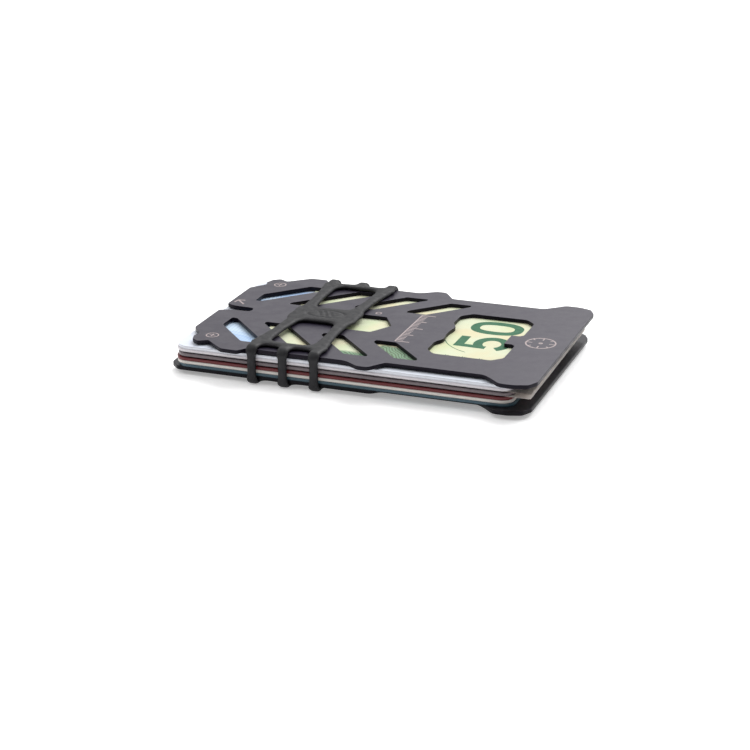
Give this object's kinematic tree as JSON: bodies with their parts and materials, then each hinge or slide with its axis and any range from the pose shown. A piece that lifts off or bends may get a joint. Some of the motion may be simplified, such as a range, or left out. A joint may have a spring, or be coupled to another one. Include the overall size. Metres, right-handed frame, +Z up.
{
  "type": "minimalist wallet",
  "caption": "Slim wallet of slotted metal plates holding cards and folded notes, wrapped by a moulded elastic band.",
  "frame": {"origin": "under the middle of the whole object's box, at its lowest point, the underside of the band", "axes": "+X along the length, from the notched end to the end with the ears, +Z up through the stack, out of the upper plate"},
  "size_m": [0.093, 0.0588, 0.01],
  "materials": {
    "plate_upper": "satin dark grey coating with pale etched marks",
    "plate_lower": "satin near-black coating",
    "band_rubber": "matte moulded black rubber",
    "card_light_blue": "glossy printed card, pale blue with a dark stripe",
    "card_white": "glossy white card",
    "card_maroon": "glossy grey-maroon card",
    "card_red": "glossy deep red card",
    "card_cream": "glossy off-white card",
    "card_teal": "glossy grey-teal card",
    "note_paper": "pale green-cream printed note paper",
    "note_paper_worn": "grey-brown edges of folded note paper"
  },
  "bodies": {
    "base": {"bottom_plate": "plate_lower", "elastic_band": "band_rubber"},
    "upper": {"top_plate": "plate_upper"},
    "card_a": {"card_1": "card_light_blue"},
    "card_b": {"card_2": "card_white"},
    "card_c": {"card_3": "card_maroon"},
    "card_d": {"card_4": "card_red"},
    "card_e": {"card_5": "card_cream"},
    "card_f": {"card_6": "card_teal"},
    "note_a": {"folded_note_1": "note_paper"},
    "note_b": {"folded_note_2": "note_paper_worn"},
    "note_c": {"folded_note_3": "note_paper_worn"}
  },
  "joints": [
    {"name": "plate_lift", "type": "slide", "parent": "base", "child": "upper", "axis": [0, 0, 1], "range_m": [0, 0.004], "stiffness_N_per_m": 1500, "springref_m": -0.004, "deforming": ["elastic_band"]},
    {"name": "card_a_slide", "type": "slide", "parent": "base", "child": "card_a", "axis": [1, 0, 0], "range_m": [0, 0.08]},
    {"name": "card_b_slide", "type": "slide", "parent": "base", "child": "card_b", "axis": [1, 0, 0], "range_m": [0, 0.08]},
    {"name": "card_c_slide", "type": "slide", "parent": "base", "child": "card_c", "axis": [1, 0, 0], "range_m": [0, 0.08]},
    {"name": "card_d_slide", "type": "slide", "parent": "base", "child": "card_d", "axis": [1, 0, 0], "range_m": [0, 0.08]},
    {"name": "card_e_slide", "type": "slide", "parent": "base", "child": "card_e", "axis": [1, 0, 0], "range_m": [0, 0.08]},
    {"name": "card_f_slide", "type": "slide", "parent": "base", "child": "card_f", "axis": [1, 0, 0], "range_m": [0, 0.08]},
    {"name": "note_a_slide", "type": "slide", "parent": "base", "child": "note_a", "axis": [1, 0, 0], "range_m": [0, 0.065]},
    {"name": "note_b_slide", "type": "slide", "parent": "base", "child": "note_b", "axis": [1, 0, 0], "range_m": [0, 0.058]},
    {"name": "note_c_slide", "type": "slide", "parent": "base", "child": "note_c", "axis": [1, 0, 0], "range_m": [0, 0.058]}
  ]
}
